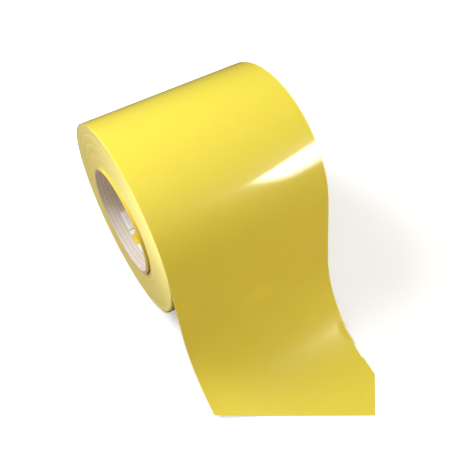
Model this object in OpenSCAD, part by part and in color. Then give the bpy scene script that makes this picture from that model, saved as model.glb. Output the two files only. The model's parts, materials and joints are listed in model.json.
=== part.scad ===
// Roll of sign vinyl with its free end paid out over the table.
// The web has three layers: a face film, an adhesive and a release liner.
// +X runs along the core, +Z is up, and the web comes off the front of the roll towards -Y.
// The origin is the middle of the core's bore, and the table is half a roll diameter below it.

/* [Core] */
// Bore of the core, which is the 3 inch spindle size
core_bore_d = 76.2; // [60:0.1:90]
// Length of the core
core_len = 124; // [95:1:160]
// Thickness of one wound ply of the core's paper board
ply_t = 0.3; // [0.2:0.05:1]

/* [Label and tape] */
// Length of the paper label inside the bore, along the core
label_len = 30; // [15:1:60]
// Part of a full circle that the label covers, in degrees
label_angle = 56; // [20:1:120]
// Where the middle of the label lies round the bore, in degrees over the top from the front
label_turn = 262; // [0:1:359]
// Distance of the label from the left end of the core
label_inset = 9.5; // [2:1:30]
// Thickness of the label's paper
label_t = 0.06; // [0.04:0.01:0.1]
// Width of the tape that holds the start of the web, round the core
tape_w = 20; // [10:1:40]
// Thickness of the tape
tape_t = 0.1; // [0.05:0.01:0.2]
// Distance that the tape stops short of the web's edges
tape_inset = 4; // [1:1:15]

/* [Web] */
// Width of the web
web_w = 124; // [95:1:160]
// Thickness of the face film
film_t = 0.08; // [0.05:0.005:0.2]
// Thickness of the adhesive
adhesive_t = 0.025; // [0.02:0.005:0.05]
// Thickness of the release liner
liner_t = 0.13; // [0.08:0.005:0.25]

/* [Wound roll] */
// Outside diameter of the roll
roll_d = 143; // [120:1:180]
// Number of first turns that stand proud with the core
first_turns = 2; // [1:1:4]
// How far the core and the first turns stand out of the roll's left end
stub = 1.5; // [0.5:0.1:4]
// Step between the ends of the wound bands, where the turns wander sideways
band_step = 0.15; // [0.05:0.05:0.5]
// Gap under the outermost turn, which lets the roll turn inside it
turn_gap = 0.3; // [0.2:0.05:0.6]

/* [Free end] */
// Height of the line where the web leaves the roll, in degrees above the front
leave_angle = 24.5; // [10:0.5:35]
// Radius of the bend that brings the web down flat
sag_r = 84; // [70:1:100]
// Distance of the lifting crease before the line where the web lies flat
lift_before = 30; // [20:1:45]
// Distance of the peeling crease after the line where the web lies flat
peel_after = 13; // [6:1:20]
// Half of the slit left at each crease, which keeps the pieces clear of each other as they bend
crease_gap = 0.15; // [0.1:0.05:0.3]
// Length of flat web along the left edge, counted from the line where it lies flat
cut_left = -27; // [-30:1:10]
// Slant of the cut across the end, in degrees from square
cut_angle = 30; // [0:1:35]
// Length of flat web along the right edge, counted from the line where it lies flat
cut_right = 9; // [4:1:30]
// Slant of the clipped corner, in degrees from square
clip_angle = 52; // [40:1:65]

/* [Hidden] */
$fn = 180;

// A hair of extra length for a cutting shape
over = 1;
// Length of one straight step along the free web
step_len = 2;
// Angle left open under the line where the web leaves the roll
mouth_angle = 7;

web_t = film_t + adhesive_t + liner_t;
bore_r = core_bore_d / 2;
core_r = bore_r + 4 * ply_t;
first_r = core_r + tape_t;
wound_r = first_r + first_turns * web_t;
roll_r = roll_d / 2;
pack_r = roll_r - web_t - turn_gap;
band_t = (pack_r - wound_r) / 3;

// The web sits this far to the right of the core's middle, so that the stub shows on the left
web_x = stub + (web_w - core_len) / 2;

// Depth of each layer's two faces under the outside of the film
film_top = 0;
film_low = film_t;
liner_top = film_t + adhesive_t;
liner_low = web_t;

// The free web runs straight off the roll, then bends until it lies flat on the table
straight_len = (roll_r * (1 + sin(leave_angle)) - web_t - sag_r * (1 - sin(leave_angle)))
    / cos(leave_angle);
bend_len = sag_r * (90 - leave_angle) * PI / 180;
land_s = straight_len + bend_len;
land_front = roll_r * cos(leave_angle) + straight_len * sin(leave_angle) + sag_r * cos(leave_angle);
lift_s = land_s - lift_before;
peel_s = land_s + peel_after;

// The end is cut on a slant from the left edge, and its right corner is clipped on another slant
tip_right = (cut_left + web_w * tan(cut_angle) - cut_right) / (tan(cut_angle) + tan(clip_angle));
tip_len = cut_right + tip_right * tan(clip_angle);
end_s = land_s + tip_len + over;

// Heading of the web at a distance s along it, in degrees forward from straight down
function heading(s) = s < straight_len ? leave_angle
    : s < land_s ? leave_angle + (s - straight_len) / sag_r * 180 / PI
    : 90;

// Front and height of the outside of the film at a distance s along it
function face_at(s) = s < straight_len
    ? [-roll_r * cos(leave_angle) - s * sin(leave_angle),
       roll_r * sin(leave_angle) - s * cos(leave_angle)]
    : s < land_s
    ? [-land_front + sag_r * cos(heading(s)), web_t - roll_r + sag_r * (1 - sin(heading(s)))]
    : [-land_front - (s - land_s), web_t - roll_r];

// The same point, taken down through the web by a depth d
function layer_at(s, d) = face_at(s) - d * [-cos(heading(s)), sin(heading(s))];

// Distances along the web where its layers all have a corner, so that they lie face to face
function stations(s0, s1) = concat(
    [s0],
    [for (i = [floor(s0 / step_len) + 1:ceil(s1 / step_len) - 1]) i * step_len],
    [s1]
);

// Closed outline of a layer between two distances along the web
function layer_outline(s0, s1, top, low) =
    let (at = stations(s0, s1), last = len(at) - 1)
    concat(
        [for (i = [0:last]) layer_at(at[i], top)],
        [for (i = [last:-1:0]) layer_at(at[i], low)]
    );

// A tube round the core's axis
module tube(r_in, r_out, len, x) {
    translate([x, 0, 0])
        rotate([0, 90, 0])
            difference() {
                cylinder(h = len, r = r_out, center = true);
                cylinder(h = len + 2 * over, r = r_in, center = true);
            }
}

// A wedge of space round the core's axis, from one angle above the front to another
module sector(from, to, r, len, x) {
    translate([x, 0, 0])
        rotate([90, 0, 90])
            linear_extrude(height = len, center = true)
                polygon([
                    [0, 0],
                    [-r * cos(from), r * sin(from)],
                    [-r * cos((from + to) / 2), r * sin((from + to) / 2)] * 1.05,
                    [-r * cos(to), r * sin(to)]
                ]);
}

// One patch of a thin tube, such as a label
module patch(r_in, r_out, from, to, len, x) {
    intersection() {
        tube(r_in, r_out, len, x);
        sector(from, to, 2 * r_out, len + over, x);
    }
}

// One layer of the first turns, as a ring for each turn
module first_turn_layer(top, low) {
    for (i = [1:first_turns]) {
        r = first_r + i * web_t;
        tube(r - low, r - top, web_w, web_x - stub);
    }
}

// One third of the wound turns between the first and the outermost ones
module wound_band(i) {
    tube(wound_r + i * band_t, wound_r + (i + 1) * band_t, web_w, web_x + (1 - i) * band_step);
}

// One layer of the outermost turn, open under the line where the web leaves
module outer_turn_layer(top, low) {
    difference() {
        tube(roll_r - low, roll_r - top, web_w, web_x);
        sector(leave_angle - mouth_angle, leave_angle, 2 * roll_r, web_w + over, web_x);
    }
}

// One layer of the free web, over its full width
module free_layer(s0, s1, top, low) {
    translate([web_x, 0, 0])
        rotate([90, 0, 90])
            linear_extrude(height = web_w, center = true)
                polygon(layer_outline(s0, s1, top, low));
}

// The shape that the two cuts leave, seen from above
module cut_outline() {
    translate([web_x, -land_front, -roll_d])
        linear_extrude(height = 2 * roll_d)
            polygon([
                [-web_w / 2 - over, land_front],
                [-web_w / 2 - over, over * tan(cut_angle) - cut_left],
                [web_w / 2 - tip_right, -tip_len],
                [web_w / 2 + over, over * tan(clip_angle) - cut_right],
                [web_w / 2 + over, land_front]
            ]);
}

// One layer of the free web, trimmed by the two cuts
module trimmed_layer(s0, s1, top, low) {
    intersection() {
        free_layer(s0, s1, top, low);
        cut_outline();
    }
}

module core_inner_ply() {
    color("gainsboro") tube(bore_r, bore_r + ply_t, core_len, 0);
}

module core_lower_ply() {
    color("tan") tube(bore_r + ply_t, bore_r + 2 * ply_t, core_len, 0);
}

module core_upper_ply() {
    color("tan") tube(bore_r + 2 * ply_t, bore_r + 3 * ply_t, core_len, 0);
}

module core_outer_ply() {
    color("linen") tube(bore_r + 3 * ply_t, core_r, core_len, 0);
}

module core_label() {
    color("white")
        patch(
            bore_r - label_t, bore_r,
            label_turn - label_angle / 2, label_turn + label_angle / 2,
            label_len, label_inset + label_len / 2 - core_len / 2
        );
}

module start_tape() {
    tape_angle = tape_w / core_r * 180 / PI;
    color("beige")
        patch(core_r, first_r, 0, tape_angle, web_w - 2 * tape_inset, web_x - stub);
}

module first_liner() {
    color("ivory") first_turn_layer(liner_top, liner_low);
}

module first_adhesive() {
    color("lightyellow") first_turn_layer(film_low, liner_top);
}

module first_film() {
    color("gold") first_turn_layer(film_top, film_low);
}

module wound_inner() {
    color("khaki") wound_band(0);
}

module wound_middle() {
    color("lemonchiffon") wound_band(1);
}

module wound_outer() {
    color("khaki") wound_band(2);
}

module turn_liner() {
    color("ivory") outer_turn_layer(liner_top, liner_low);
}

module turn_adhesive() {
    color("lightyellow") outer_turn_layer(film_low, liner_top);
}

module turn_film() {
    color("gold") outer_turn_layer(film_top, film_low);
}

module tail_liner() {
    color("ivory") free_layer(0, lift_s - crease_gap, liner_top, liner_low);
}

module tail_adhesive() {
    color("lightyellow") free_layer(0, lift_s - crease_gap, film_low, liner_top);
}

module tail_film() {
    color("gold") free_layer(0, lift_s - crease_gap, film_top, film_low);
}

module end_liner() {
    color("ivory") trimmed_layer(lift_s + crease_gap, end_s, liner_top, liner_low);
}

module end_adhesive() {
    color("lightyellow")
        trimmed_layer(lift_s + crease_gap, peel_s - crease_gap, film_low, liner_top);
}

module end_film() {
    color("gold") trimmed_layer(lift_s + crease_gap, peel_s - crease_gap, film_top, film_low);
}

module corner_adhesive() {
    color("lightyellow") trimmed_layer(peel_s + crease_gap, end_s, film_low, liner_top);
}

module corner_film() {
    color("gold") trimmed_layer(peel_s + crease_gap, end_s, film_top, film_low);
}

core_inner_ply();
core_lower_ply();
core_upper_ply();
core_outer_ply();
core_label();
start_tape();
first_liner();
first_adhesive();
first_film();
wound_inner();
wound_middle();
wound_outer();
turn_liner();
turn_adhesive();
turn_film();
tail_liner();
tail_adhesive();
tail_film();
end_liner();
end_adhesive();
end_film();
corner_adhesive();
corner_film();
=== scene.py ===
"""Looks of a roll of sign vinyl: the wound turns, the paper core and the free web.

Every piece is made in the row frame, in metres: +X runs along the core, +Z is up, and the web comes
off the front of the roll towards -Y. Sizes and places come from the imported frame.
"""

import json
import logging
import math
from dataclasses import dataclass, field
from enum import Enum

import bmesh
import bpy
from mathutils import Matrix, Vector, noise


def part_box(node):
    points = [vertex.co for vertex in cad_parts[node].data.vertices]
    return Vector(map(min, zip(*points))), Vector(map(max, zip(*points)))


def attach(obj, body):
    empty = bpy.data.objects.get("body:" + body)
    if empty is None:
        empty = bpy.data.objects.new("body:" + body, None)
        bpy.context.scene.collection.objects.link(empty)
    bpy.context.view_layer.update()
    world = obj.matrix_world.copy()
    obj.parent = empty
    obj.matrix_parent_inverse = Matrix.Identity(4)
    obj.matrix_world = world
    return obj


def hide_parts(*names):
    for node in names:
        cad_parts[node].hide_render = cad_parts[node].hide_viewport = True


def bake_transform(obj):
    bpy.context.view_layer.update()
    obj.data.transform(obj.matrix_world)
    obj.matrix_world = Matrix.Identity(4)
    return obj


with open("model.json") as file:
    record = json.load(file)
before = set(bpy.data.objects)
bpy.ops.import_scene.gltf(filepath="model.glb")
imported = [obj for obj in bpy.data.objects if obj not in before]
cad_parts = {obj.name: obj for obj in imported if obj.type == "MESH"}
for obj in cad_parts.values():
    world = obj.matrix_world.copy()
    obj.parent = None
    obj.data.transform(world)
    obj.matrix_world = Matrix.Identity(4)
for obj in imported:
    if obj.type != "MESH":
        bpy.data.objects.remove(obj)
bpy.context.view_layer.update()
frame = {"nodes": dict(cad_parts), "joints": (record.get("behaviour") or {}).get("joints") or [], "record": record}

LOG = logging.getLogger("vinyl_roll")
MM = 0.001
TURN = 2 * math.pi


class Layer(Enum):
    """The three layers of the web, from the outside of the roll inwards."""

    FILM = "film"
    ADHESIVE = "adhesive"
    LINER = "liner"


class Body(Enum):
    """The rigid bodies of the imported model."""

    WEB = "web"
    ROLL = "roll"
    TAIL_END = "tail_end"
    CORNER = "corner"


# ------------------------------------------------------------------ sizes


@dataclass(frozen=True)
class RollSizes:
    """Sizes of the roll and its web.

    Args:
        roll_r: Outside radius of the roll.
        web_w: Width of the web.
        web_x: Middle of the web along the core's axis.
        film_t: Thickness of the face film.
        adhesive_t: Thickness of the adhesive.
        liner_t: Thickness of the release liner.
        bore_r: Radius of the core's bore.
        core_r: Outside radius of the core.
        core_len: Length of the core.
        first_r: Radius where the web starts on the core.
        wound_r: Radius where the wound turns start.
        stub: How far the first turns stand out of the left end.
    """

    roll_r: float
    web_w: float
    web_x: float
    film_t: float
    adhesive_t: float
    liner_t: float
    bore_r: float
    core_r: float
    core_len: float
    first_r: float
    wound_r: float
    stub: float

    @property
    def web_t(self) -> float:
        """Thickness of the whole web."""
        return self.film_t + self.adhesive_t + self.liner_t

    @property
    def left(self) -> float:
        """Place of the web's left edge."""
        return self.web_x - self.web_w / 2

    @property
    def right(self) -> float:
        """Place of the web's right edge."""
        return self.web_x + self.web_w / 2

    @property
    def floor_z(self) -> float:
        """Height of the surface that the roll lies on."""
        return -self.roll_r

    def depth(self, layer: Layer) -> float:
        """Depth of a layer's outer face under the outside of the film."""
        return {
            Layer.FILM: 0.0,
            Layer.ADHESIVE: self.film_t,
            Layer.LINER: self.film_t + self.adhesive_t,
        }[layer]

    def thickness(self, layer: Layer) -> float:
        """Thickness of a layer."""
        return {
            Layer.FILM: self.film_t,
            Layer.ADHESIVE: self.adhesive_t,
            Layer.LINER: self.liner_t,
        }[layer]


def outside_radius(node: str) -> float:
    """Outside radius of a node that goes right round the core's axis.

    Args:
        node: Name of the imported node.

    Returns:
        Half of the node's size from front to back.
    """
    low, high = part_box(node)
    return (high.y - low.y) / 2


def joint_place(name: str) -> Vector:
    """Place of a hinge in the row frame.

    Args:
        name: The joint's name in the record.

    Returns:
        A point on its axis.
    """
    return Vector(next(j for j in frame["joints"] if j["name"] == name)["pos_m"])


TAPE_T = 0.1 * MM


def measure_roll() -> RollSizes:
    """Reads the roll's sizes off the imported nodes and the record's bore.

    Returns:
        The sizes that every other piece is built from.
    """
    low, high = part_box("turn_film")
    core_low, core_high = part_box("core_inner_ply")
    film_low, film_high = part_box("corner_film")
    glue_low, glue_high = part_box("corner_adhesive")
    bore = next(m for m in frame["record"]["mounts"] if m["name"] == "core_bore")
    first_r = outside_radius("core_outer_ply") + TAPE_T
    return RollSizes(
        roll_r=(high.y - low.y) / 2,
        web_w=high.x - low.x,
        web_x=(low.x + high.x) / 2,
        film_t=film_high.z - film_low.z,
        adhesive_t=glue_high.z - glue_low.z,
        liner_t=glue_low.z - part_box("end_liner")[0].z,
        bore_r=bore["dims"]["r_mm"] * MM,
        core_r=outside_radius("core_outer_ply"),
        core_len=core_high.x - core_low.x,
        first_r=first_r,
        wound_r=outside_radius("first_film"),
        stub=low.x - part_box("first_film")[0].x,
    )


@dataclass(frozen=True)
class WebPath:
    """The line that the outside of the film follows, seen from the roll's end.

    Distances run along the web. Zero is where it leaves the roll, and they are negative round it.

    Args:
        sizes: The roll's sizes.
        leave: Angle above the front where the web leaves the roll.
        sag_r: Radius of the bend that brings the web down flat.
        tuck: Angle past a full turn that the outermost turn reaches under the web.
        step: Length of one step between stations.
    """

    sizes: RollSizes
    leave: float
    sag_r: float = 84 * MM
    tuck: float = math.radians(12)
    step: float = 2 * MM

    @property
    def start(self) -> float:
        """Where the outermost turn starts, under the web."""
        return -(TURN + self.tuck) * self.sizes.roll_r

    @property
    def straight(self) -> float:
        """Length of the straight run off the roll."""
        r, up = self.sizes.roll_r, math.sin(self.leave)
        return (r * (1 + up) - self.sizes.web_t - self.sag_r * (1 - up)) / math.cos(self.leave)

    @property
    def land(self) -> float:
        """Where the web lies flat."""
        return self.straight + self.sag_r * (math.pi / 2 - self.leave)

    @property
    def land_y(self) -> float:
        """Place of the line where the web lies flat, across the floor."""
        reach = (self.sizes.roll_r + self.sag_r) * math.cos(self.leave)
        return -(reach + self.straight * math.sin(self.leave))

    def heading(self, s: float) -> float:
        """Angle of the web forward from straight down, for the free web."""
        if s < self.straight:
            return self.leave
        return min(self.leave + (s - self.straight) / self.sag_r, math.pi / 2)

    def normal(self, s: float) -> Vector:
        """Direction out of the film's face at a distance along the web."""
        angle = self.leave - s / self.sizes.roll_r if s < 0 else self.heading(s)
        return Vector((0, -math.cos(angle), math.sin(angle)))

    def face(self, s: float) -> Vector:
        """Point on the outside of the film at a distance along the web."""
        r, floor = self.sizes.roll_r, self.sizes.floor_z + self.sizes.web_t
        if s < 0:
            wound = -s / r / TURN
            return self.normal(s) * (r - self.sizes.web_t * wound)
        if s < self.straight:
            down = Vector((0, -math.sin(self.leave), -math.cos(self.leave)))
            return self.normal(0) * r + down * s
        if s < self.land:
            turn = self.heading(s)
            rise = self.sag_r * (1 - math.sin(turn))
            return Vector((0, self.land_y + self.sag_r * math.cos(turn), floor + rise))
        return Vector((0, self.land_y - (s - self.land), floor))

    def stations(self, s0: float, s1: float) -> list[float]:
        """Distances where every layer has a row of points, so that the layers nest.

        Args:
            s0: First distance.
            s1: Last distance.

        Returns:
            The two ends and every whole step between them.
        """
        first = math.floor(s0 / self.step) + 1
        last = math.ceil(s1 / self.step)
        return [s0, *(i * self.step for i in range(first, last)), s1]


# ------------------------------------------------------------------ mesh helpers


def finish_mesh(name: str, bm: bmesh.types.BMesh, sharp: float = 35.0) -> bpy.types.Object:
    """Turns a bmesh into a smooth piece with sharp creases.

    Args:
        name: Name of the piece.
        bm: The shape, which is freed.
        sharp: Angle in degrees past which an edge stays sharp.

    Returns:
        The new object, in the scene.
    """
    mesh = bpy.data.meshes.new(name)
    bm.to_mesh(mesh)
    bm.free()
    mesh.shade_smooth()
    mesh.set_sharp_from_angle(angle=math.radians(sharp))
    piece = bpy.data.objects.new(name, mesh)
    bpy.context.scene.collection.objects.link(piece)
    return piece


def spin_profile(profile: list[tuple[float, float]], steps: int) -> bmesh.types.BMesh:
    """Spins a closed outline round the core's axis.

    Args:
        profile: Points as (along the axis, radius).
        steps: Number of steps round the axis.

    Returns:
        The closed shape.
    """
    bm = bmesh.new()
    ring = [bm.verts.new((x, 0, r)) for x, r in profile]
    edges = [bm.edges.new((ring[i - 1], ring[i])) for i in range(len(ring))]
    bmesh.ops.spin(
        bm,
        geom=[*ring, *edges],
        cent=(0, 0, 0),
        axis=(1, 0, 0),
        angle=TURN,
        steps=steps,
        use_merge=True,
        use_duplicate=False,
    )
    bmesh.ops.remove_doubles(bm, verts=bm.verts[:], dist=1e-7)
    bmesh.ops.recalc_face_normals(bm, faces=bm.faces[:])
    return bm


def ring_profile(x0: float, x1: float, r0: float, r1: float) -> list[tuple[float, float]]:
    """Outline of a plain tube's wall, from one end to the other and one radius to the other."""
    return [(x0, r0), (x1, r0), (x1, r1), (x0, r1)]


def around(co: Vector) -> float:
    """Angle of a point round the core's axis, over the top from the front, from 0 to a full turn."""
    return math.atan2(co.z, -co.y) % TURN


def smooth(low: float, high: float, value: float) -> float:
    """Smooth step from 0 at low to 1 at high."""
    t = min(max((value - low) / (high - low), 0.0), 1.0)
    return t * t * (3 - 2 * t)


# ------------------------------------------------------------------ node helpers


class Shader:
    """A material's node tree, with short ways to add and join nodes.

    Args:
        name: Name of the material.
    """

    def __init__(self, name: str) -> None:
        """Makes an empty material with one Principled BSDF."""
        self.material = bpy.data.materials.new(name)
        self.material.use_nodes = True
        self.tree = self.material.node_tree
        self.tree.nodes.clear()
        out = self.tree.nodes.new("ShaderNodeOutputMaterial")
        self.bsdf = self.tree.nodes.new("ShaderNodeBsdfPrincipled")
        self.join(self.bsdf.outputs["BSDF"], out.inputs["Surface"])

    def add(self, kind: str, **settings: object) -> bpy.types.Node:
        """Adds a node and sets its properties."""
        node = self.tree.nodes.new(kind)
        for key, value in settings.items():
            setattr(node, key, value)
        return node

    def join(self, a: bpy.types.NodeSocket, b: bpy.types.NodeSocket) -> None:
        """Joins two sockets."""
        self.tree.links.new(a, b)

    def place(self) -> bpy.types.NodeSocket:
        """The object's own coordinates."""
        return self.add("ShaderNodeTexCoord").outputs["Object"]

    def group(self, tree: bpy.types.NodeTree, **values: object) -> bpy.types.Node:
        """Places a shared group and sets its inputs, with names in the group's own words.

        Args:
            tree: The shared group.
            values: Value of each input, with spaces written as underscores.

        Returns:
            The group's node.
        """
        node = self.add("ShaderNodeGroup", node_tree=tree)
        for key, value in values.items():
            node.inputs[key.replace("_", " ")].default_value = value
        if "Place" in node.inputs:
            self.join(self.place(), node.inputs["Place"])
        return node

    def set(self, **values: object) -> None:
        """Sets sockets of the BSDF, with spaces written as underscores."""
        for key, value in values.items():
            self.bsdf.inputs[key.replace("_", " ")].default_value = value

    def mix(
        self,
        factor: bpy.types.NodeSocket | float,
        a: bpy.types.NodeSocket | tuple,
        b: bpy.types.NodeSocket | tuple,
        blend: str = "MIX",
    ) -> bpy.types.NodeSocket:
        """Mixes two colours.

        Args:
            factor: Share of the second colour.
            a: First colour.
            b: Second colour.
            blend: How the two are mixed.

        Returns:
            The mixed colour.
        """
        node = self.add("ShaderNodeMix", data_type="RGBA", blend_type=blend)
        for index, value in ((0, factor), (6, a), (7, b)):
            if isinstance(value, bpy.types.NodeSocket):
                self.join(value, node.inputs[index])
            elif isinstance(value, tuple):
                node.inputs[index].default_value = (*value, 1.0)
            else:
                node.inputs[index].default_value = value
        return node.outputs[2]

    def bump(self, height: bpy.types.NodeSocket, strength: float, distance: float) -> None:
        """Feeds a height into the BSDF's normal, on top of any bump already there."""
        node = self.add("ShaderNodeBump")
        node.inputs["Strength"].default_value = strength
        node.inputs["Distance"].default_value = distance
        self.join(height, node.inputs["Height"])
        normal = self.bsdf.inputs["Normal"]
        if normal.is_linked:
            self.join(normal.links[0].from_socket, node.inputs["Normal"])
        self.join(node.outputs["Normal"], normal)


class Group:
    """A shared shader group that is being built.

    Args:
        name: Name of the group.
        inputs: Each input's name, socket type and starting value.
        outputs: Each output's name and socket type.
    """

    def __init__(
        self, name: str, inputs: list[tuple[str, str, object]], outputs: list[tuple[str, str]]
    ) -> None:
        """Makes the group with its named sockets."""
        self.tree = bpy.data.node_groups.new(name, "ShaderNodeTree")
        for label, kind, value in inputs:
            socket = self.tree.interface.new_socket(label, in_out="INPUT", socket_type=kind)
            if value is not None:
                socket.default_value = value
        for label, kind in outputs:
            self.tree.interface.new_socket(label, in_out="OUTPUT", socket_type=kind)
        self.source = self.tree.nodes.new("NodeGroupInput")
        self.sink = self.tree.nodes.new("NodeGroupOutput")

    def add(self, kind: str, **settings: object) -> bpy.types.Node:
        """Adds a node and sets its properties."""
        node = self.tree.nodes.new(kind)
        for key, value in settings.items():
            setattr(node, key, value)
        return node

    def take(self, label: str) -> bpy.types.NodeSocket:
        """An input of the group."""
        return self.source.outputs[label]

    def give(self, label: str, socket: bpy.types.NodeSocket) -> None:
        """Joins a socket to an output of the group."""
        self.tree.links.new(socket, self.sink.inputs[label])

    def feed(self, node: bpy.types.Node, index: int | str, value: object) -> None:
        """Joins a socket to a node's input, or sets the input to a plain value."""
        if isinstance(value, bpy.types.NodeSocket):
            self.tree.links.new(value, node.inputs[index])
        else:
            node.inputs[index].default_value = value

    def math(self, operation: str, *values: object, clamp: bool = False) -> bpy.types.NodeSocket:
        """A Math node on sockets or numbers."""
        node = self.add("ShaderNodeMath", operation=operation, use_clamp=clamp)
        for index, value in enumerate(values):
            self.feed(node, index, value)
        return node.outputs[0]

    def radius(self) -> bpy.types.NodeSocket:
        """Distance of the shaded point from the core's axis."""
        flat = self.add("ShaderNodeVectorMath", operation="MULTIPLY")
        self.feed(flat, 0, self.take("Place"))
        flat.inputs[1].default_value = (0, 1, 1)
        length = self.add("ShaderNodeVectorMath", operation="LENGTH")
        self.feed(length, 0, flat.outputs["Vector"])
        return length.outputs["Value"]

    def axis(self, name: str) -> bpy.types.NodeSocket:
        """One coordinate of the shaded point."""
        split = self.add("ShaderNodeSeparateXYZ")
        self.feed(split, 0, self.take("Place"))
        return split.outputs[name]


FLOAT, COLOUR, VECTOR = "NodeSocketFloat", "NodeSocketColor", "NodeSocketVector"


def fibre_group() -> bpy.types.NodeTree:
    """Paper fibres: a fine mottle and a few long specks.

    Returns:
        A group with Scale, Specks and the outputs Mottle, Speck and Height.
    """
    g = Group(
        "paper_fibre",
        [("Place", VECTOR, None), ("Scale", FLOAT, 900.0), ("Specks", FLOAT, 0.3)],
        [("Mottle", FLOAT), ("Speck", FLOAT), ("Height", FLOAT)],
    )
    fine = g.add("ShaderNodeTexNoise")
    g.feed(fine, "Vector", g.take("Place"))
    g.feed(fine, "Scale", g.take("Scale"))
    fine.inputs["Detail"].default_value = 4.0
    stretch = g.add("ShaderNodeVectorMath", operation="MULTIPLY")
    g.feed(stretch, 0, g.take("Place"))
    stretch.inputs[1].default_value = (0.35, 1.0, 1.4)
    specks = g.add("ShaderNodeTexNoise")
    g.feed(specks, "Vector", stretch.outputs["Vector"])
    g.feed(specks, "Scale", g.math("MULTIPLY", g.take("Scale"), 1.7))
    high = g.math("GREATER_THAN", specks.outputs["Fac"], 0.68)
    g.give("Mottle", fine.outputs["Fac"])
    g.give("Speck", g.math("MULTIPLY", high, g.take("Specks")))
    g.give("Height", fine.outputs["Fac"])
    return g.tree


def slit_edge_group() -> bpy.types.NodeTree:
    """A mask that is 1 on the slit edges of the web and falls to 0 over a narrow strip.

    Returns:
        A group with Middle, Half width and Strip, and the output Mask.
    """
    g = Group(
        "slit_edge",
        [
            ("Place", VECTOR, None),
            ("Middle", FLOAT, 0.0),
            ("Half width", FLOAT, 0.06),
            ("Strip", FLOAT, 0.001),
        ],
        [("Mask", FLOAT)],
    )
    off = g.math("ABSOLUTE", g.math("SUBTRACT", g.axis("X"), g.take("Middle")))
    inside = g.math("SUBTRACT", g.take("Half width"), off)
    g.give("Mask", g.math("SUBTRACT", 1.0, g.math("DIVIDE", inside, g.take("Strip")), clamp=True))
    return g.tree


def turn_ring_group() -> bpy.types.NodeTree:
    """Rings on the end of the roll: single turns, and slow bands where the winding changed.

    Returns:
        A group with Pitch, Band and Seed, and the outputs Turn, Band shade and Height.
    """
    g = Group(
        "turn_rings",
        [
            ("Place", VECTOR, None),
            ("Pitch", FLOAT, 0.00024),
            ("Band", FLOAT, 0.0016),
            ("Seed", FLOAT, 3.0),
        ],
        [("Turn", FLOAT), ("Band shade", FLOAT), ("Height", FLOAT)],
    )
    r = g.radius()
    phase = g.math("MULTIPLY", g.math("DIVIDE", r, g.take("Pitch")), TURN)
    turn = g.math("MULTIPLY_ADD", g.math("SINE", phase), 0.5, 0.5)
    slow = g.add("ShaderNodeTexNoise", noise_dimensions="1D")
    g.feed(slow, "W", g.math("ADD", g.math("DIVIDE", r, g.take("Band")), g.take("Seed")))
    slow.inputs["Scale"].default_value = 1.0
    slow.inputs["Detail"].default_value = 3.0
    g.give("Turn", turn)
    g.give("Band shade", slow.outputs["Fac"])
    g.give("Height", g.math("ADD", g.math("MULTIPLY", turn, 0.35), slow.outputs["Fac"]))
    return g.tree


def seam_group() -> bpy.types.NodeTree:
    """Spiral seams of the core's lining, as thin lines that climb slowly along the bore.

    Returns:
        A group with Place, Lead, Starts and Width, and the output Line.
    """
    g = Group(
        "spiral_seam",
        [("Place", VECTOR, None), ("Lead", FLOAT, 0.018), ("Starts", FLOAT, 3.0), ("Width", FLOAT, 0.06)],
        [("Line", FLOAT)],
    )
    split = g.add("ShaderNodeSeparateXYZ")
    g.feed(split, 0, g.take("Place"))
    angle = g.math("DIVIDE", g.math("ARCTAN2", split.outputs["Z"], split.outputs["Y"]), TURN)
    climb = g.math("DIVIDE", split.outputs["X"], g.take("Lead"))
    wind = g.math("MULTIPLY", g.math("ADD", climb, angle), g.take("Starts"))
    off = g.math("ABSOLUTE", g.math("SUBTRACT", g.math("FRACT", wind), 0.5))
    near = g.math("DIVIDE", g.math("SUBTRACT", 0.5, off), g.take("Width"))
    g.give("Line", g.math("SUBTRACT", 1.0, near, clamp=True))
    return g.tree


def film_skin_group() -> bpy.types.NodeTree:
    """The face film's skin: a faint wave from the calender and a very fine orange peel.

    Returns:
        A group with Wave and Peel sizes, and the outputs Shade and Height.
    """
    g = Group(
        "film_skin",
        [("Place", VECTOR, None), ("Wave", FLOAT, 55.0), ("Peel", FLOAT, 2600.0)],
        [("Shade", FLOAT), ("Height", FLOAT)],
    )
    wave = g.add("ShaderNodeTexNoise")
    g.feed(wave, "Vector", g.take("Place"))
    g.feed(wave, "Scale", g.take("Wave"))
    wave.inputs["Detail"].default_value = 2.0
    peel = g.add("ShaderNodeTexNoise")
    g.feed(peel, "Vector", g.take("Place"))
    g.feed(peel, "Scale", g.take("Peel"))
    peel.inputs["Detail"].default_value = 1.0
    g.give("Shade", wave.outputs["Fac"])
    low = g.math("MULTIPLY", peel.outputs["Fac"], 0.02)
    g.give("Height", g.math("ADD", wave.outputs["Fac"], low))
    return g.tree


@dataclass
class Groups:
    """The shared shader groups, each built once."""

    fibre: bpy.types.NodeTree = field(default_factory=fibre_group)
    slit: bpy.types.NodeTree = field(default_factory=slit_edge_group)
    rings: bpy.types.NodeTree = field(default_factory=turn_ring_group)
    seam: bpy.types.NodeTree = field(default_factory=seam_group)
    skin: bpy.types.NodeTree = field(default_factory=film_skin_group)


# ------------------------------------------------------------------ finishes


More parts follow.
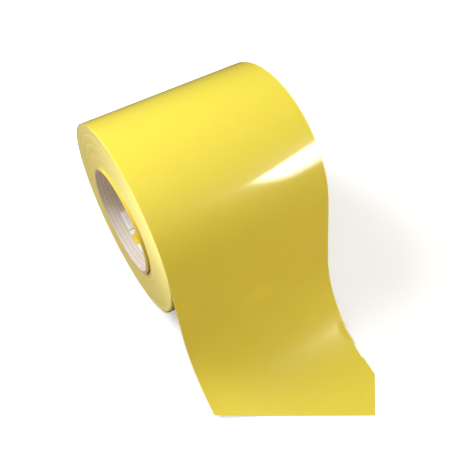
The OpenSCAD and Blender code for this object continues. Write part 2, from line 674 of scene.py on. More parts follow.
@dataclass(frozen=True)
class FilmFinish:
    """Glossy yellow face film, with a painted highlight: a thin brighter yellow line along its slit edges."""

    colour: tuple[float, float, float] = (0.85, 0.745, 0.085)
    deep: tuple[float, float, float] = (0.83, 0.715, 0.08)
    # edge is the colour of a painted highlight along the slit edges, standing in for the light that their cut
    # edges catch.
    edge: tuple[float, float, float] = (1.0, 0.93, 0.22)
    roughness: float = 0.30
    gloss: float = 0.14
    coat_roughness: float = 0.08
    worn_coat: float = 0.06
    handled: tuple[float, float, float] = (0.056, -0.129, -0.061)
    handled_r: float = 0.040
    edge_highlight_strip: float = 0.9 * MM

    def make(self, groups: Groups, sizes: RollSizes, shift: float = 0.0) -> bpy.types.Material:
        """Builds the material.

        Args:
            groups: The shared groups.
            sizes: The roll's sizes.
            shift: How far the film's turns stand out of the left end.

        Returns:
            The material.
        """
        m = Shader("vinyl_film")
        skin = m.group(groups.skin)
        slit = m.group(
            groups.slit,
            Middle=sizes.web_x - shift,
            Half_width=sizes.web_w / 2,
            Strip=self.edge_highlight_strip,
        )
        body = m.mix(skin.outputs["Shade"], self.colour, self.deep)
        # Painted highlight: the brighter edge colour is mixed in over a narrow strip along each slit edge.
        colour = m.mix(slit.outputs["Mask"], body, self.edge)
        m.join(colour, m.bsdf.inputs["Base Color"])
        m.set(
            Roughness=self.roughness,
            Specular_IOR_Level=self.gloss,
            Coat_Roughness=self.coat_roughness,
        )
        m.join(self.coat(m), m.bsdf.inputs["Coat Weight"])
        m.bump(skin.outputs["Height"], 0.25, 0.02 * MM)
        return m.material

    def coat(self, m: Shader) -> bpy.types.NodeSocket:
        """Weight of the film's gloss, which is worn off round the handled spot of the edge."""
        away = m.add("ShaderNodeVectorMath", operation="DISTANCE")
        m.join(m.place(), away.inputs[0])
        away.inputs[1].default_value = self.handled
        ramp = m.add("ShaderNodeMapRange", interpolation_type="SMOOTHSTEP")
        m.join(away.outputs["Value"], ramp.inputs["Value"])
        settings = {
            "From Min": self.handled_r * 0.4,
            "From Max": self.handled_r,
            "To Min": self.worn_coat,
            "To Max": 1.0,
        }
        for name, value in settings.items():
            ramp.inputs[name].default_value = value
        return ramp.outputs["Result"]


@dataclass(frozen=True)
class LinerFinish:
    """Cream release liner: siliconised paper with faint fibres."""

    colour: tuple[float, float, float] = (0.92, 0.89, 0.80)
    shade: tuple[float, float, float] = (0.84, 0.80, 0.68)
    roughness: float = 0.42

    def make(self, groups: Groups) -> bpy.types.Material:
        """Builds the material."""
        m = Shader("release_liner")
        fibre = m.group(groups.fibre, Scale=700.0, Specks=0.25)
        body = m.mix(fibre.outputs["Mottle"], self.colour, self.shade)
        colour = m.mix(fibre.outputs["Speck"], body, self.shade)
        m.join(colour, m.bsdf.inputs["Base Color"])
        m.set(Roughness=self.roughness)
        m.bump(fibre.outputs["Height"], 0.3, 0.02 * MM)
        return m.material


@dataclass(frozen=True)
class AdhesiveFinish:
    """Clear, slightly milky adhesive with a wet look."""

    colour: tuple[float, float, float] = (0.88, 0.86, 0.72)
    roughness: float = 0.28

    def make(self, groups: Groups) -> bpy.types.Material:
        """Builds the material."""
        m = Shader("adhesive")
        skin = m.group(groups.skin, Wave=400.0, Peel=3000.0)
        colour = m.mix(skin.outputs["Shade"], self.colour, (0.80, 0.78, 0.60))
        m.join(colour, m.bsdf.inputs["Base Color"])
        m.set(Roughness=self.roughness)
        m.bump(skin.outputs["Height"], 0.5, 0.03 * MM)
        return m.material


@dataclass(frozen=True)
class TurnEdgeFinish:
    """Ends of the wound turns: cream liner edges and yellow film edges, side by side."""

    liner: tuple[float, float, float] = (0.90, 0.86, 0.37)
    film: tuple[float, float, float] = (0.78, 0.69, 0.16)
    dusk: tuple[float, float, float] = (0.53, 0.43, 0.13)
    roughness: float = 0.55

    def make(self, groups: Groups, sizes: RollSizes) -> bpy.types.Material:
        """Builds the material."""
        m = Shader("turn_edges")
        rings = m.group(groups.rings, Pitch=sizes.web_t, Band=1.5 * MM, Seed=3.0)
        broad = m.group(groups.rings, Pitch=sizes.web_t, Band=6 * MM, Seed=11.0)
        striped = m.mix(rings.outputs["Turn"], self.liner, self.film)
        even = m.mix(0.45, striped, self.liner)
        banded = m.mix(rings.outputs["Band shade"], even, m.mix(0.8, even, self.dusk))
        colour = m.mix(broad.outputs["Band shade"], banded, m.mix(0.25, banded, self.film))
        m.join(colour, m.bsdf.inputs["Base Color"])
        m.set(Roughness=self.roughness)
        m.bump(rings.outputs["Height"], 0.35, 0.05 * MM)
        return m.material


@dataclass(frozen=True)
class BoardFinish:
    """Brown core board with fibres."""

    colour: tuple[float, float, float] = (0.42, 0.31, 0.20)
    shade: tuple[float, float, float] = (0.30, 0.21, 0.13)
    roughness: float = 0.85

    def make(self, groups: Groups) -> bpy.types.Material:
        """Builds the material."""
        m = Shader("core_board")
        fibre = m.group(groups.fibre, Scale=500.0, Specks=0.5)
        body = m.mix(fibre.outputs["Mottle"], self.colour, self.shade)
        m.join(m.mix(fibre.outputs["Speck"], body, (0.6, 0.5, 0.36)), m.bsdf.inputs["Base Color"])
        m.set(Roughness=self.roughness)
        m.bump(fibre.outputs["Height"], 0.5, 0.05 * MM)
        return m.material


@dataclass(frozen=True)
class LiningFinish:
    """Pale lining paper of the core, with thin light spiral seams."""

    colour: tuple[float, float, float] = (0.80, 0.75, 0.69)
    shade: tuple[float, float, float] = (0.66, 0.59, 0.52)
    seam: tuple[float, float, float] = (0.93, 0.91, 0.88)
    roughness: float = 0.6

    def make(self, groups: Groups, lead: float, starts: int) -> bpy.types.Material:
        """Builds the material, with its seams at the lining's own lead."""
        m = Shader("core_lining")
        fibre = m.group(groups.fibre, Scale=450.0, Specks=0.35)
        seam = m.group(groups.seam, Lead=lead, Starts=float(starts), Width=0.11)
        body = m.mix(fibre.outputs["Mottle"], self.colour, self.shade)
        body = m.mix(fibre.outputs["Speck"], body, self.shade)
        m.join(m.mix(seam.outputs["Line"], body, self.seam), m.bsdf.inputs["Base Color"])
        m.set(Roughness=self.roughness)
        m.bump(fibre.outputs["Height"], 0.3, 0.03 * MM)
        return m.material


@dataclass(frozen=True)
class LabelFinish:
    """White label paper with a painted shadow line across it and a plain yellow block across it.

    Args:
        paper: Colour of the paper.
        shadow_line: Colour of the painted shadow line.
        block: Colour of the block.
        shadow_line_y: Front and back of the painted shadow line.
        block_y: Front and back of the block.
    """

    paper: tuple[float, float, float] = (0.93, 0.94, 0.97)
    shadow_line: tuple[float, float, float] = (0.40, 0.36, 0.33)
    block: tuple[float, float, float] = (0.90, 0.68, 0.03)
    shadow_line_y: tuple[float, float] = (8.2 * MM, 9.0 * MM)
    block_y: tuple[float, float] = (-5.0 * MM, 4.8 * MM)

    @staticmethod
    def stripe(m: Shader, limits: tuple[float, float]) -> bpy.types.NodeSocket:
        """A mask that is 1 between two places from front to back."""
        split = m.add("ShaderNodeSeparateXYZ")
        m.join(m.place(), split.inputs[0])
        near = m.add("ShaderNodeMath", operation="COMPARE")
        m.join(split.outputs["Y"], near.inputs[0])
        near.inputs[1].default_value = (limits[0] + limits[1]) / 2
        near.inputs[2].default_value = (limits[1] - limits[0]) / 2
        return near.outputs[0]

    def make(self, groups: Groups) -> bpy.types.Material:
        """Builds the material."""
        m = Shader("label_paper")
        fibre = m.group(groups.fibre, Scale=1200.0, Specks=0.0)
        paper = m.mix(fibre.outputs["Mottle"], self.paper, (0.88, 0.89, 0.92))
        # Painted shadow: a dark line across the label paper, under the white paper's edge.
        shaded_paper = m.mix(self.stripe(m, self.shadow_line_y), paper, self.shadow_line)
        m.join(m.mix(self.stripe(m, self.block_y), shaded_paper, self.block), m.bsdf.inputs["Base Color"])
        m.set(Roughness=0.5)
        m.bump(fibre.outputs["Height"], 0.2, 0.02 * MM)
        return m.material


@dataclass(frozen=True)
class TapeFinish:
    """Thin double-sided tissue tape."""

    colour: tuple[float, float, float] = (0.82, 0.78, 0.62)

    def make(self, groups: Groups) -> bpy.types.Material:
        """Builds the material."""
        m = Shader("tape")
        fibre = m.group(groups.fibre, Scale=1500.0, Specks=0.6)
        colour = m.mix(fibre.outputs["Mottle"], self.colour, (0.72, 0.66, 0.48))
        m.join(colour, m.bsdf.inputs["Base Color"])
        m.set(Roughness=0.45)
        m.bump(fibre.outputs["Height"], 0.4, 0.02 * MM)
        return m.material


# ------------------------------------------------------------------ the core


@dataclass
class Core:
    """The paper core: a lining with spiral seams, board plies, a label and the start tape.

    Args:
        sizes: The roll's sizes.
        lead: How far a seam climbs along the bore in one turn.
        starts: Number of seams side by side.
        groove: Depth of a seam.
        steps: Steps round the core.
        rows: Steps along the bore.
    """

    sizes: RollSizes
    lead: float = 9 * MM
    starts: int = 3
    groove: float = 0.08 * MM
    steps: int = 144
    rows: int = 300

    @property
    def ply_t(self) -> float:
        """Thickness of one ply."""
        return (self.sizes.core_r - self.sizes.bore_r) / 4

    def seam_depth(self, co: Vector) -> float:
        """Depth of the lining's surface at a point, by how near the closest seam is."""
        turns = math.atan2(co.z, co.y) / TURN
        wind = ((co.x / self.lead + turns) * self.starts) % 1.0
        off = min(wind, 1.0 - wind)
        return self.groove * (1 - smooth(0.0, 0.22, off))

    def lining(self) -> bpy.types.Object:
        """The inner ply, with its seams pressed into the bore's wall."""
        half, r0, r1 = self.sizes.core_len / 2, self.sizes.bore_r, self.sizes.bore_r + self.ply_t
        nose = 0.1 * MM
        inner = [
            (-half + nose + (2 * half - 2 * nose) * i / self.rows, r0) for i in range(self.rows + 1)
        ]
        outer = [(half, r0 + nose), (half, r1), (-half, r1), (-half, r0 + nose)]
        bm = spin_profile([*inner, *outer], self.steps)
        for vert in bm.verts:
            r = math.hypot(vert.co.y, vert.co.z)
            if r < r0 + nose / 2:
                out = 1 + self.seam_depth(vert.co) / r
                vert.co.y *= out
                vert.co.z *= out
        return finish_mesh("core_lining", bm)

    def ply(self, index: int) -> bpy.types.Object:
        """One of the plies outside the lining.

        Args:
            index: 1 for the ply next to the lining, up to 3 for the outer ply.

        Returns:
            The ply.
        """
        r0 = self.sizes.bore_r + index * self.ply_t
        half = self.sizes.core_len / 2
        bm = spin_profile(ring_profile(-half, half, r0, r0 + self.ply_t), self.steps)
        names = {1: "core_lower_board", 2: "core_upper_board", 3: "core_outer_wrap"}
        return finish_mesh(names[index], bm)

    def label(self) -> bpy.types.Object:
        """The label stuck inside the bore, with one corner a little lifted."""
        low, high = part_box("core_label")
        r = self.sizes.bore_r - 0.03 * MM
        middle = math.atan2((low.z + high.z) / 2, -(low.y + high.y) / 2)
        half_angle = math.asin(min((high.y - low.y) / 2 / r, 0.99))
        bm = bmesh.new()
        across, along = 28, 16
        first = middle - half_angle
        row = [
            bm.verts.new((low.x, -r * math.cos(first + 2 * half_angle * i / across),
                          r * math.sin(first + 2 * half_angle * i / across)))
            for i in range(across + 1)
        ]
        edges = [bm.edges.new((row[i], row[i + 1])) for i in range(across)]
        step = (high.x - low.x) / along
        bmesh.ops.spin(
            bm, geom=[*row, *edges], cent=(0, 0, 0), axis=(1, 0, 0), dvec=(step, 0, 0),
            angle=0.0, steps=along, use_merge=False, use_duplicate=False,
        )
        for vert in bm.verts:
            turn = around(vert.co) - (middle % TURN)
            near_end = smooth(high.x - low.x - 3 * MM, high.x - low.x, high.x - vert.co.x)
            lift = 0.35 * MM * near_end * smooth(0.6, 1.0, turn / half_angle)
            keep = 1 - lift / r
            vert.co.y *= keep
            vert.co.z *= keep
        bmesh.ops.recalc_face_normals(bm, faces=bm.faces[:])
        piece = finish_mesh("bore_label", bm)
        wall = piece.modifiers.new("paper", "SOLIDIFY")
        wall.thickness = 0.05 * MM
        wall.offset = 0.0
        return piece

    def dress(self, groups: Groups) -> None:
        """Builds the core's pieces, gives them their finishes and hides the imported nodes that they stand for."""
        lining = self.lining()
        lining.data.materials.append(LiningFinish().make(groups, self.lead, self.starts))
        settle(lining, Body.ROLL, "core_lining", "core_inner_ply")
        board = BoardFinish().make(groups)
        for index, node in ((1, "core_lower_ply"), (2, "core_upper_ply"), (3, "core_outer_ply")):
            ply = self.ply(index)
            ply.data.materials.append(lining.data.materials[0] if index == 3 else board)
            settle(ply, Body.ROLL, "core_lining" if index == 3 else "core_board", node)
        label = self.label()
        label.data.materials.append(LabelFinish().make(groups))
        settle(label, Body.ROLL, "label_paper", "core_label")
        tape = frame["nodes"]["start_tape"]
        paint(tape, TapeFinish().make(groups))


def settle(piece: bpy.types.Object, body: Body, slot: str, *nodes: str) -> None:
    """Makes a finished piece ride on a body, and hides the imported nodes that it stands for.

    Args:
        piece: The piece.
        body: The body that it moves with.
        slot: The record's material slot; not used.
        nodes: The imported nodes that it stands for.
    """
    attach(piece, body.value)
    if nodes:
        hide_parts(*nodes)
    LOG.info("%s: %d faces, rides on %s", piece.name, len(piece.data.polygons), body.value)


def paint(node: bpy.types.Object, material: bpy.types.Material) -> None:
    """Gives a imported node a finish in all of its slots."""
    if not node.material_slots:
        node.data.materials.append(material)
    for slot in node.material_slots:
        slot.material = material
    LOG.info("%s: packed node painted", node.name)


# ------------------------------------------------------------------ the wound turns


@dataclass
class WoundTurns:
    """The wound turns between the first and the outermost ones, in three bands.

    Args:
        sizes: The roll's sizes.
        top_r: Outside radius of the wound turns.
        ridge: Height of one turn's edge over its neighbour.
        wander: How far the turns wander sideways.
        set_back: How far the turns' edges stand back from the web's.
        scatter: How far an edge wanders on its way round the roll.
        gap: Depth of the gap beside the core at the lower front.
        slack: How far the outer turns stand off the web where it leaves.
        steps: Steps round the roll.
    """

    sizes: RollSizes
    top_r: float
    ridge: float = 0.035 * MM
    wander: float = 0.16 * MM
    set_back: float = 0.15 * MM
    scatter: float = 0.06 * MM
    gap: float = 5.0 * MM
    slack: float = 0.9 * MM
    steps: int = 144

    def side(self, r: float) -> float:
        """How far a turn at a radius sits out of line."""
        mm = r / MM
        slow = math.sin(mm * 0.83 + 0.6) + 0.6 * math.sin(mm * 1.9 + 2.0)
        quick = 0.45 * math.sin(mm * 4.7) + 0.25 * math.sin(mm * 11.3 + 1.0)
        return self.wander * (slow + quick) / 2.3

    def band(self, name: str, r0: float, r1: float) -> bpy.types.Object:
        """One band of turns, with a ridge on both ends for each turn.

        Args:
            name: Name of the piece.
            r0: Inside radius.
            r1: Outside radius.

        Returns:
            The band.
        """
        turns = round((r1 - r0) / self.sizes.web_t)
        radii = [r0 + (r1 - r0) * i / (2 * turns) for i in range(2 * turns + 1)]
        right = [
            (self.sizes.right - self.set_back - self.side(r) - (i % 2) * self.ridge, r)
            for i, r in enumerate(radii)
        ]
        left = [
            (self.sizes.left + self.set_back - self.side(r) + (i % 2) * self.ridge, r)
            for i, r in enumerate(radii)
        ]
        bm = spin_profile([*right, *reversed(left)], self.steps)
        for vert in bm.verts:
            self.unsettle(vert)
        return finish_mesh(name, bm, sharp=60.0)

    def unsettle(self, vert: bmesh.types.BMVert) -> None:
        """Moves a point out of line, a little differently round the roll.

        The inner turns stand back from the core at the lower front, and the outer ones from the
        web where it leaves.
        """
        r, angle = math.hypot(vert.co.y, vert.co.z), around(vert.co)
        spot = Vector((math.cos(angle) * 1.3, math.sin(angle) * 1.3, r / MM * 0.22))
        vert.co.x += self.scatter * noise.noise(spot)
        if vert.co.x < self.sizes.web_x:
            lower_front = 0.5 + 0.5 * math.cos(angle - math.radians(325))
            near_core = 1 - smooth(0.7 * MM, 1.3 * MM, r - self.sizes.wound_r)
            vert.co.x += self.gap * lower_front**4 * near_core
        leaving = 0.5 + 0.5 * math.cos(angle - math.radians(5))
        slack = self.slack * leaving**4 * smooth(self.top_r - 2 * MM, self.top_r, r)
        vert.co.y *= 1 - slack / r
        vert.co.z *= 1 - slack / r

    def dress(self, groups: Groups) -> None:
        """Builds the three bands and gives them their finish."""
        edges = TurnEdgeFinish().make(groups, self.sizes)
        step = (self.top_r - self.sizes.wound_r) / 3
        for i, part in enumerate(("inner", "middle", "outer")):
            r0 = self.sizes.wound_r + i * step
            band = self.band(f"turns_{part}", r0, r0 + step)
            band.data.materials.append(edges)
            settle(band, Body.ROLL, "wound_web", f"wound_{part}")


@dataclass
class FirstTurns:
    """The first turns of the web, which stand out of the left end with the core.

    Args:
        sizes: The roll's sizes.
        turns: Number of turns.
        steps: Steps round the core.
    """

    sizes: RollSizes
    turns: int = 2
    steps: int = 160

    def layer(self, layer: Layer) -> bpy.types.Object:
        """One layer of all the first turns, a ring for each turn."""
        s = self.sizes
        x0, x1 = s.left - s.stub, s.right - s.stub
        parts = []
        for i in range(1, self.turns + 1):
            r1 = s.first_r + i * s.web_t - s.depth(layer)
            parts.append(spin_profile(ring_profile(x0, x1, r1 - s.thickness(layer), r1), self.steps))
        bm = parts[0]
        for other in parts[1:]:
            spare = bpy.data.meshes.new("spare")
            other.to_mesh(spare)
            other.free()
            bm.from_mesh(spare)
            bpy.data.meshes.remove(spare)
        return finish_mesh(f"first_turns_{layer.value}", bm)

    def dress(self, finishes: dict[Layer, bpy.types.Material]) -> None:
        """Builds the three layers and gives them their finishes."""
        for layer in Layer:
            piece = self.layer(layer)
            piece.data.materials.append(finishes[layer])
            settle(piece, Body.ROLL, SLOTS[layer], f"first_{layer.value}")


SLOTS = {Layer.FILM: "vinyl_film", Layer.ADHESIVE: "adhesive", Layer.LINER: "release_liner"}


# ------------------------------------------------------------------ the web


@dataclass(frozen=True)
class Cut:
    """A straight cut across the end of the web.

    Args:
        place: A point on the cut.
        away: Direction of the waste side.
    """

    place: Vector
    away: Vector


@dataclass(frozen=True)
class Stretch:
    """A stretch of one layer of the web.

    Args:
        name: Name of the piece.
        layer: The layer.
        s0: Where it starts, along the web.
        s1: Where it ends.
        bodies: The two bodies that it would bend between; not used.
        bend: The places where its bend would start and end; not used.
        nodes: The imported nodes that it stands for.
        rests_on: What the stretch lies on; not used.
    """

    name: str
    layer: Layer
    s0: float
    s1: float
    bodies: tuple[Body, Body]
    bend: tuple[Vector, Vector]
    nodes: tuple[str, ...]
    rests_on: tuple[str, ...]


@dataclass
class Web:
    """The outermost turn and the free web, as three nested layers cut to one outline.

    Args:
        path: The line that the film follows.
        cuts: The cuts across the end.
        columns: Steps across the web.
        border: Width of the narrow columns along the slit edges.
        lift_bend: Length of the bend in front of the lifting crease.
        peel_bend: Length of the bend in front of the peeling crease.
        strips: Strips that a stretch's flat area is summed in.
        lip_s: Place of the film's lifted lip along the web.
        lip_len: Half of the lip's length.
        lip_w: Width of the lip.
        lip_h: Height of the lip.
        bare: Width of the liner left bare beside the lip.
        nick: Where the nick in the right edge starts and ends, along the web.
        nick_d: Depth of the nick.
        nick_edge: Half of the step at each end of the nick.
    """

    path: WebPath
    cuts: tuple[Cut, ...]
    columns: int = 30
    border: float = 0.5 * MM
    lift_bend: float = 20 * MM
    peel_bend: float = 9 * MM
    strips: int = 600
    lip_s: float = 122 * MM
    lip_len: float = 8 * MM
    lip_w: float = 7 * MM
    lip_h: float = 0.7 * MM
    bare: float = 1.6 * MM
    nick: tuple[float, float] = (135 * MM, 146.5 * MM)
    nick_d: float = 1.2 * MM
    nick_edge: float = 0.15 * MM

    def ripple(self, s: float, across: float) -> float:
        """Height of the web's slow ripples over its plain path.

        Args:
            s: Distance along the web.
            across: Distance from the web's middle, from -1 at the left to 1 at the right.

        Returns:
            The height along the film's normal.
        """
        free = smooth(6 * MM, 40 * MM, s) * (1 - smooth(self.path.land - 8 * MM, self.path.land, s))
        wave = math.sin(s / MM * 0.075 + across * 2.1) * 0.16 * MM
        return free * wave * (0.35 + 0.65 * across * across)

    def lip(self, s: float, inboard: float, layer: Layer) -> float:
        """Height of the film's lifted lip at the handled spot of its right edge.

        Args:
            s: Distance along the web.
            inboard: Distance from the right edge.
            layer: The layer, because the liner stays down.

        Returns:
            The height along the film's normal.
        """
        if layer is Layer.LINER:
            return 0.0
        away = (s - self.lip_s) / self.lip_len
        return self.lip_h * math.exp(-away * away) * (1 - smooth(0.0, self.lip_w, inboard))

    def inset(self, s: float, layer: Layer) -> float:
        """How far the right edge is cut back at a distance along the web.

        Args:
            s: Distance along the web.
            layer: The layer, because the film is torn back further than its liner.

        Returns:
            Depth of the cut.
        """
        nick = self.nick_d if self.nick[0] < s < self.nick[1] else 0.0
        if layer is Layer.LINER:
            return nick
        away = (s - self.lip_s) / (0.6 * self.lip_len)
        return nick + self.bare * math.exp(-away * away)

    def sheet(self, stretch: Stretch) -> bpy.types.Object:
        """Builds a stretch of a layer as a thin closed sheet.

        Args:
            stretch: What to build.

        Returns:
            The piece, at the layer's real thickness.
        """
        s = self.path.sizes
        bm = bmesh.new()
        along = bm.verts.layers.float.new("along")
        row = []
        for place in self.path.stations(stretch.s0, stretch.s1):
            vert = bm.verts.new(self.path.face(place) + Vector((s.left, 0, 0)))
            vert[along] = place
            row.append(vert)
        edges = [bm.edges.new((row[i], row[i + 1])) for i in range(len(row) - 1)]
        bmesh.ops.spin(
            bm, geom=[*row, *edges], cent=(0, 0, 0), axis=(1, 0, 0),
            dvec=(s.web_w / self.columns, 0, 0), angle=0.0, steps=self.columns,
            use_merge=False, use_duplicate=False,
        )
        inner = (self.border, s.web_w - self.border, *(s.web_w - i * MM for i in range(1, 8)))
        for x in inner:
            self.slice(bm, Vector((s.left + x, 0, 0)), Vector((1, 0, 0)), clear=False)
        for end in self.nick:
            for place in (end - self.nick_edge, end + self.nick_edge):
                front = Vector((0, self.path.face(place).y, 0))
                if stretch.s1 > place:
                    self.slice(bm, front, Vector((0, 1, 0)), clear=False)
        for cut in self.cuts:
            self.slice(bm, cut.place, cut.away, clear=True)
        self.shape(bm, stretch.layer, along)
        bmesh.ops.recalc_face_normals(bm, faces=bm.faces[:])
        self.face_out(bm, along)
        self.thicken(bm, s.thickness(stretch.layer))
        return finish_mesh(stretch.name, bm)

    @staticmethod
    def slice(bm: bmesh.types.BMesh, place: Vector, away: Vector, clear: bool) -> None:
        """Cuts a sheet along a plane, and drops the far side if asked."""
        bmesh.ops.bisect_plane(
            bm, geom=[*bm.verts, *bm.edges, *bm.faces], dist=1e-7,
            plane_co=place, plane_no=away, clear_outer=clear, clear_inner=False,
        )

    def shape(self, bm: bmesh.types.BMesh, layer: Layer, along: object) -> None:
        """Moves every point of a flat-sided sheet to its layer, with ripples and nicks."""
        s = self.path.sizes
        reach = 3 * MM
        for vert in bm.verts:
            place = vert[along]
            across = (vert.co.x - s.web_x) / (s.web_w / 2)
            share = max(0.0, (vert.co.x - (s.right - reach)) / reach)
            lip = self.lip(place, s.right - vert.co.x, layer)
            rise = self.ripple(place, across) + lip - s.depth(layer)
            co = self.path.face(place) + self.path.normal(place) * rise
            co.x = vert.co.x - self.inset(place, layer) * share
            vert.co = co

    def face_out(self, bm: bmesh.types.BMesh, along: object) -> None:
        """Turns the sheet's faces to the film's side."""
        bm.faces.ensure_lookup_table()
        face = bm.faces[0]
        place = sum(v[along] for v in face.verts) / len(face.verts)
        if face.normal.dot(self.path.normal(place)) < 0:
            bmesh.ops.reverse_faces(bm, faces=bm.faces[:])

    @staticmethod
    def thicken(bm: bmesh.types.BMesh, thickness: float) -> None:
        """Gives a sheet its thickness, on the side away from its faces."""
        bm.normal_update()
        bmesh.ops.solidify(bm, geom=bm.faces[:], thickness=thickness)
        bmesh.ops.recalc_face_normals(bm, faces=bm.faces[:])

    def stretches(self) -> list[Stretch]:
        """The stretches of the three layers, split where no joint bends them."""
        lift, peel = joint_place("tail_lift"), joint_place("corner_peel")
        lift_end = lift - Vector((0, self.lift_bend, 0))
        peel_end = peel - Vector((0, self.peel_bend, 0))
        split = self.path.land - 2 * MM
        tip = self.path.land + (self.path.land_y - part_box("end_liner")[0].y) + 2 * MM
        first = (Body.WEB, Body.TAIL_END)
        last = (Body.TAIL_END, Body.CORNER)
        made = []
        for layer in (Layer.FILM, Layer.ADHESIVE):
            word = layer.value
            made.append(Stretch(
                f"web_{word}", layer, self.path.start, split, first, (lift, lift_end),
                (f"turn_{word}", f"tail_{word}"), ("web_liner",),
            ))
            made.append(Stretch(
                f"end_{word}_sheet", layer, split, tip, last, (peel, peel_end),
                (f"end_{word}", f"corner_{word}"), ("web_liner",),
            ))
        made.append(Stretch(
            "web_liner", Layer.LINER, self.path.start, tip, first, (lift, lift_end),
            ("turn_liner", "tail_liner", "end_liner"), ("turns_outer",),
        ))
        return made

    def dress(self, finishes: dict[Layer, bpy.types.Material]) -> None:
        for stretch in self.stretches():
            piece = self.sheet(stretch)
            piece.data.materials.append(finishes[stretch.layer])
            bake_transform(piece)
            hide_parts(*stretch.nodes)
            self.flat_area(stretch)

    def flat_area(self, stretch: Stretch) -> float:
        """Area that a stretch is cut to, summed in narrow strips between its edges and cuts.

        Args:
            stretch: The stretch.

        Returns:
            The area of one side.
        """
        sizes = self.path.sizes
        strip = (stretch.s1 - stretch.s0) / self.strips
        total = 0.0
        for i in range(self.strips):
            y = self.path.face(stretch.s0 + (i + 0.5) * strip).y
            left, right = sizes.left, sizes.right
            for cut in self.cuts:
                edge = cut.place.x - (y - cut.place.y) * cut.away.y / cut.away.x
                if cut.away.x < 0:
                    left = max(left, edge)
                else:
                    right = min(right, edge)
            total += strip * max(0.0, right - left)
        return total


# ------------------------------------------------------------------ studio


WHITE = (1.0, 1.0, 1.0)
WARM = (1.0, 0.80, 0.58)


class Shows(Enum):
    """What a lamp adds to the picture."""

    SHADE = "shade"
    GLOSS = "gloss"


@dataclass(frozen=True)
class Lamp:
    """A rectangular lamp that is aimed at a point.

    Args:
        name: Name of the lamp.
        place: Where it stands.
        aim: What it points at.
        size: Width and height.
        power: Power in watts.
        shows: Whether it shades the pieces or shows in their gloss.
        fade: Shares of its width and height over which its left and lower edges fade.
        colour: Colour of its light.
        only: Pieces that it lights, or none for everything.
    """

    name: str
    place: tuple[float, float, float]
    aim: tuple[float, float, float]
    size: tuple[float, float]
    power: float
    shows: Shows = Shows.SHADE
    fade: tuple[float, float] | None = None
    colour: tuple[float, float, float] = (1.0, 1.0, 1.0)
    only: tuple[str, ...] = ()

    def hang(self) -> None:
        """Puts the lamp in the scene."""
        data = bpy.data.lights.new(self.name, "AREA")
        data.shape = "RECTANGLE"
        data.size, data.size_y = self.size
        data.energy = self.power
        data.color = self.colour
        if self.fade:
            self.fade_edges(data, self.fade)
        lamp = bpy.data.objects.new(self.name, data)
        lamp.location = self.place
        lamp.rotation_mode = "QUATERNION"
        lamp.rotation_quaternion = (Vector(self.aim) - Vector(self.place)).to_track_quat("-Z", "Y")
        lamp.visible_camera = False
        lamp.visible_glossy = self.shows is Shows.GLOSS
        lamp.visible_diffuse = self.shows is Shows.SHADE
        bpy.context.scene.collection.objects.link(lamp)
        if self.only:
            lit = bpy.data.collections.new(f"{self.name}_lights")
            for piece in self.only:
                lit.objects.link(bpy.data.objects[piece])
            lamp.light_linking.receiver_collection = lit

    @staticmethod
    def fade_edges(data: bpy.types.AreaLight, shares: tuple[float, float]) -> None:
        """Dims the lamp towards its left and lower edges.

        Args:
            data: The lamp.
            shares: Share of the width and of the height over which it dims.
        """
        data.use_nodes = True
        tree = data.node_tree
        spot = tree.nodes.new("ShaderNodeNewGeometry")
        split = tree.nodes.new("ShaderNodeSeparateXYZ")
        both = tree.nodes.new("ShaderNodeMath")
        both.operation = "MULTIPLY"
        tree.links.new(spot.outputs["Parametric"], split.inputs[0])
        for index, share in enumerate(shares):
            ramp = tree.nodes.new("ShaderNodeMapRange")
            ramp.interpolation_type = "SMOOTHSTEP"
            ramp.inputs["From Max"].default_value = share
            tree.links.new(split.outputs[index], ramp.inputs["Value"])
            tree.links.new(ramp.outputs["Result"], both.inputs[index])
        tree.links.new(both.outputs[0], tree.nodes["Emission"].inputs["Strength"])


@dataclass(frozen=True)
class Eye:
    """The camera: where it stands, where it looks and how it is tilted.

    Args:
        place: Where it stands.
        azimuth: Degrees that it looks to the right of +Y.
        elevation: Degrees that it looks down.
        roll: Degrees that it is turned about its own line of sight.
        lens: Focal length in millimetres, on a sensor 36 mm wide.
    """

    place: tuple[float, float, float] = (-0.1285, -0.175, 0.3575)
    azimuth: float = 43.2
    elevation: float = 62.0
    roll: float = -13.5
    lens: float = 45.68

    def stand(self) -> None:
        """Puts the camera in the scene and makes it the active one."""
        az, el, roll = (math.radians(v) for v in (self.azimuth, self.elevation, self.roll))
        look = Vector((math.sin(az) * math.cos(el), math.cos(az) * math.cos(el), -math.sin(el)))
        right = look.cross(Vector((0, 0, 1))).normalized()
        down = look.cross(right)
        across = right * math.cos(roll) + down * math.sin(roll)
        up = right * math.sin(roll) - down * math.cos(roll)
        data = bpy.data.cameras.new("eye")
        data.lens = self.lens
        data.sensor_width = 36.0
        data.clip_start = 0.01
        data.clip_end = 20.0
        camera = bpy.data.objects.new("eye", data)
        turn = Matrix((across, up, -look)).transposed().to_4x4()
        camera.matrix_world = Matrix.Translation(self.place) @ turn
        bpy.context.scene.collection.objects.link(camera)
        bpy.context.scene.camera = camera


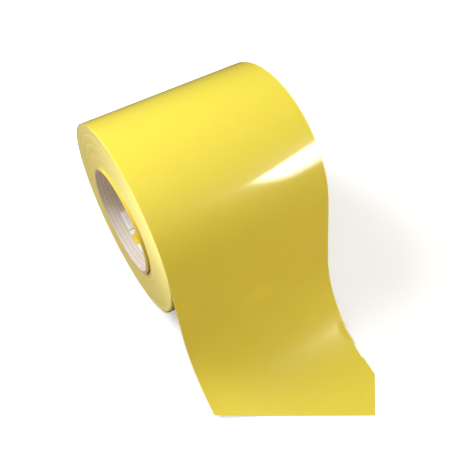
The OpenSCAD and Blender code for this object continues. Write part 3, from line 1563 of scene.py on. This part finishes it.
@dataclass
class Studio:
    """A pale floor, soft lamps and an even backdrop.

    Args:
        floor_z: Height of the floor.
        lamps: The lamps.
    """

    floor_z: float
    lamps: tuple[Lamp, ...]

    def floor(self) -> None:
        """A wide plain floor."""
        bm = bmesh.new()
        bmesh.ops.create_grid(bm, x_segments=1, y_segments=1, size=4.0)
        bmesh.ops.translate(bm, verts=bm.verts[:], vec=(0, 0, self.floor_z - 0.05 * MM))
        piece = finish_mesh("floor", bm)
        m = Shader("pale_floor")
        path = m.add("ShaderNodeLightPath")
        bounce = m.mix(path.outputs["Is Glossy Ray"], (0.50, 0.42, 0.32), (0.14, 0.10, 0.06))
        seen = path.outputs["Is Camera Ray"]
        m.join(m.mix(seen, bounce, (0.84, 0.90, 0.97)), m.bsdf.inputs["Base Color"])
        m.join(m.mix(seen, (0.0, 0.0, 0.0), (0.35, 0.35, 0.35)), m.bsdf.inputs["Emission Color"])
        m.set(Roughness=0.9, Emission_Strength=1.0)
        piece.data.materials.append(m.material)

    def backdrop(self) -> None:
        """An even white world, dimmer for light than for sight."""
        world = bpy.data.worlds.new("studio")
        world.use_nodes = True
        tree = world.node_tree
        tree.nodes.clear()
        out = tree.nodes.new("ShaderNodeOutputWorld")
        path = tree.nodes.new("ShaderNodeLightPath")
        seen, lit, gleam = (tree.nodes.new("ShaderNodeBackground") for _ in range(3))
        for shade, colour, strength in ((seen, WHITE, 1.0), (lit, WARM, 0.29), (gleam, WARM, 0.10)):
            shade.inputs["Color"].default_value = (*colour, 1.0)
            shade.inputs["Strength"].default_value = strength
        first, second = (tree.nodes.new("ShaderNodeMixShader") for _ in range(2))
        tree.links.new(path.outputs["Is Glossy Ray"], first.inputs[0])
        tree.links.new(lit.outputs[0], first.inputs[1])
        tree.links.new(gleam.outputs[0], first.inputs[2])
        tree.links.new(path.outputs["Is Camera Ray"], second.inputs[0])
        tree.links.new(first.outputs[0], second.inputs[1])
        tree.links.new(seen.outputs[0], second.inputs[2])
        tree.links.new(second.outputs[0], out.inputs["Surface"])
        bpy.context.scene.world = world

    def light(self) -> None:
        """Sets the floor, the backdrop and the lamps."""
        self.floor()
        self.backdrop()
        for lamp in self.lamps:
            lamp.hang()
        view = bpy.context.scene.view_settings
        view.view_transform = "Standard"
        view.look = "None"


# ------------------------------------------------------------------ all of it


SLANT_ANGLE = 30
CLIP_ANGLE = 52


def end_cuts() -> tuple[Cut, ...]:
    """The slanted cut across the end and the clipped corner, which meet in the tip.

    Returns:
        The two cuts.
    """
    slant, clip = math.radians(SLANT_ANGLE), math.radians(CLIP_ANGLE)
    low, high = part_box("corner_film")
    tip = Vector((low.x + (high.y - low.y) / math.tan(slant), low.y, 0))
    return (
        Cut(tip, Vector((-math.sin(slant), -math.cos(slant), 0))),
        Cut(tip, Vector((math.sin(clip), -math.cos(clip), 0))),
    )


END_PIECES = ("turns_inner", "turns_middle", "turns_outer")
TURN_ROOM = 0.06 * MM
LAMPS = (
    Lamp("key", (-0.38, 0.40, 0.56), (0.0, 0.0, 0.0), (0.30, 0.30), 5.3),
    Lamp("overhead", (0.0, -0.30, 1.1), (0.0, -0.05, 0.0), (0.9, 0.9), 4.6),
    Lamp("front_fill", (0.45, -0.60, 0.10), (0.0, -0.05, 0.0), (0.4, 0.4), 1.4, colour=WARM),
    Lamp("end_glow", (-0.118, -0.088, 0.128), (-0.06, 0.0, 0.0), (0.06, 0.06), 0.20, only=END_PIECES),
    Lamp(
        "window", (0.743, -0.792, 0.79), (-0.194, -0.443, 0.79), (0.75, 0.52), 34.0,
        shows=Shows.GLOSS, fade=(0.15, 0.6),
    ),
)


def main() -> None:
    """Builds the camera, the studio and every piece in order."""
    logging.basicConfig(level=logging.INFO, format="%(message)s")
    sizes = measure_roll()
    leave = math.asin(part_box("tail_film")[1].z / sizes.roll_r)
    path = WebPath(sizes, leave)
    Eye().stand()
    groups = Groups()
    finishes = {
        Layer.FILM: FilmFinish().make(groups, sizes),
        Layer.ADHESIVE: AdhesiveFinish().make(groups),
        Layer.LINER: LinerFinish().make(groups),
    }
    Core(sizes).dress(groups)
    # The first turns get a darker, more orange copy of the film colour as painted shade on the stub, and a
    # narrower painted edge highlight.
    shaded_inner_film = FilmFinish(colour=(0.84, 0.66, 0.06), deep=(0.80, 0.60, 0.05), edge_highlight_strip=0.35 * MM)
    FirstTurns(sizes).dress(finishes | {Layer.FILM: shaded_inner_film.make(groups, sizes, sizes.stub)})
    WoundTurns(sizes, top_r=sizes.roll_r - 2 * sizes.web_t - TURN_ROOM).dress(groups)
    Web(path, end_cuts()).dress(finishes)
    Studio(sizes.floor_z, LAMPS).light()


if __name__ == "__main__":
    main()
